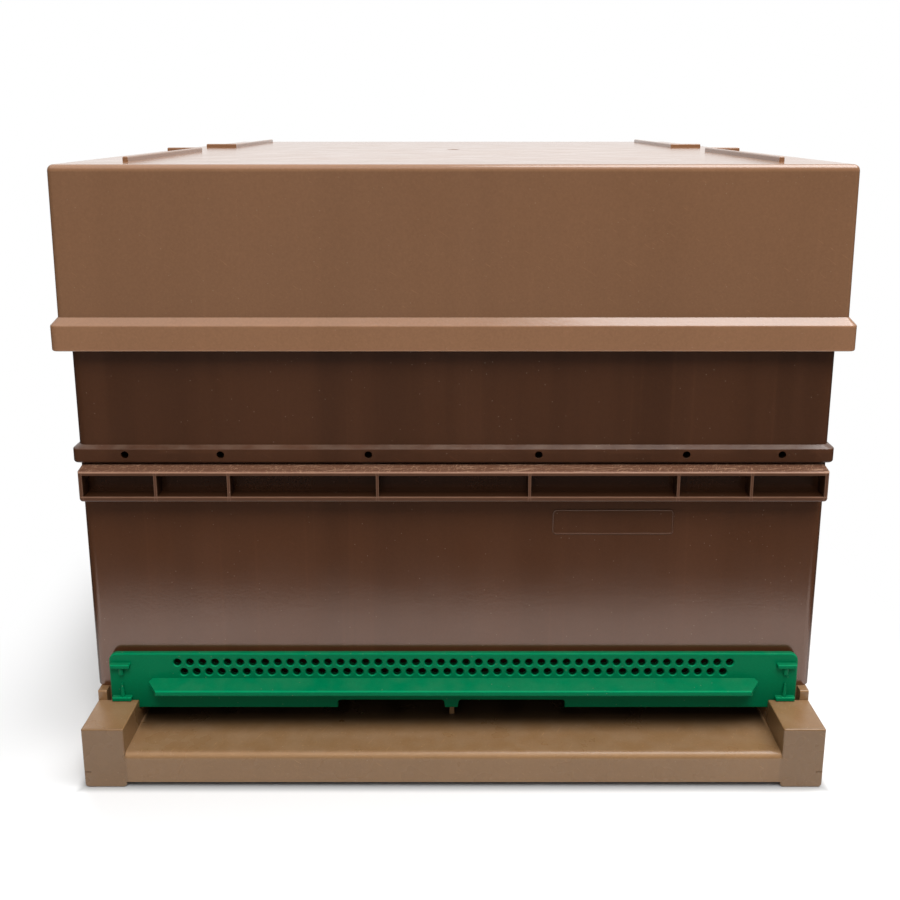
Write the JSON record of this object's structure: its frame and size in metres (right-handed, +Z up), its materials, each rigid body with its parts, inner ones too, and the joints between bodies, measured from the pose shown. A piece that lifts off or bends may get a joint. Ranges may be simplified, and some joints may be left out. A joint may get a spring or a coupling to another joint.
{
  "type": "beehive",
  "caption": "Stacked plastic beehive: telescoping flat roof, double-walled body sections, ventilated floor with landing board, lift-out green entrance gate, wooden frames inside.",
  "frame": {"origin": "on the ground under the middle of the bounding box", "axes": "+X to the right seen from the entrance, +Y from the entrance front to the back, +Z up"},
  "size_m": [0.4496, 0.5504, 0.3594],
  "materials": {
    "roof_plastic": "satin, fine moulded grain",
    "board_plastic": "satin",
    "body_plastic": "satin, fine moulded grain",
    "floor_plastic": "satin, fine moulded grain",
    "screen_plastic": "satin",
    "tray_plastic": "satin",
    "gate_plastic": "semi-gloss",
    "frame_wood": "planed, unfinished",
    "wax": "soft waxy sheen"
  },
  "bodies": {
    "floor": {"hive_floor": "floor_plastic", "floor_screen": "screen_plastic"},
    "gate": {"entrance_gate": "gate_plastic"},
    "tray": {"inspection_tray": "tray_plastic"},
    "lower_section": {"lower_body": "body_plastic", "front_grip_rim": "body_plastic", "back_grip_rim": "body_plastic"},
    "upper_section": {"upper_body": "body_plastic", "frame_spacers": "body_plastic"},
    "frames": {"frame_01_top_bar": "frame_wood", "frame_01_end_bars": "frame_wood", "frame_01_bottom_bar": "frame_wood", "frame_01_foundation": "wax", "frame_02_top_bar": "frame_wood", "frame_02_end_bars": "frame_wood", "frame_02_bottom_bar": "frame_wood", "frame_02_foundation": "wax", "frame_03_top_bar": "frame_wood", "frame_03_end_bars": "frame_wood", "frame_03_bottom_bar": "frame_wood", "frame_03_foundation": "wax", "frame_04_top_bar": "frame_wood", "frame_04_end_bars": "frame_wood", "frame_04_bottom_bar": "frame_wood", "frame_04_foundation": "wax", "frame_05_top_bar": "frame_wood", "frame_05_end_bars": "frame_wood", "frame_05_bottom_bar": "frame_wood", "frame_05_foundation": "wax", "frame_06_top_bar": "frame_wood", "frame_06_end_bars": "frame_wood", "frame_06_bottom_bar": "frame_wood", "frame_06_foundation": "wax", "frame_07_top_bar": "frame_wood", "frame_07_end_bars": "frame_wood", "frame_07_bottom_bar": "frame_wood", "frame_07_foundation": "wax", "frame_08_top_bar": "frame_wood", "frame_08_end_bars": "frame_wood", "frame_08_bottom_bar": "frame_wood", "frame_08_foundation": "wax", "frame_09_top_bar": "frame_wood", "frame_09_end_bars": "frame_wood", "frame_09_bottom_bar": "frame_wood", "frame_09_foundation": "wax", "frame_10_top_bar": "frame_wood", "frame_10_end_bars": "frame_wood", "frame_10_bottom_bar": "frame_wood", "frame_10_foundation": "wax"},
    "crown_board": {"crown_board": "board_plastic"},
    "roof": {"roof": "roof_plastic", "roof_stack_ribs": "roof_plastic"}
  },
  "joints": [
    {"name": "gate_lift", "type": "slide", "parent": "floor", "child": "gate", "axis": [0, 0, 1], "range_m": [0, 0.045]},
    {"name": "tray_slide", "type": "slide", "parent": "floor", "child": "tray", "axis": [0, 1, 0], "range_m": [0, 0.4]},
    {"name": "lower_section_lift", "type": "slide", "parent": "floor", "child": "lower_section", "axis": [0, 0, 1], "range_m": [0, 0.08]},
    {"name": "upper_section_lift", "type": "slide", "parent": "lower_section", "child": "upper_section", "axis": [0, 0, 1], "range_m": [0, 0.17]},
    {"name": "frames_lift", "type": "slide", "parent": "upper_section", "child": "frames", "axis": [0, 0, 1], "range_m": [0, 0.32]},
    {"name": "crown_board_lift", "type": "slide", "parent": "frames", "child": "crown_board", "axis": [0, 0, 1], "range_m": [0, 0.06]},
    {"name": "roof_lift", "type": "slide", "parent": "crown_board", "child": "roof", "axis": [0, 0, 1], "range_m": [0, 0.12]}
  ]
}
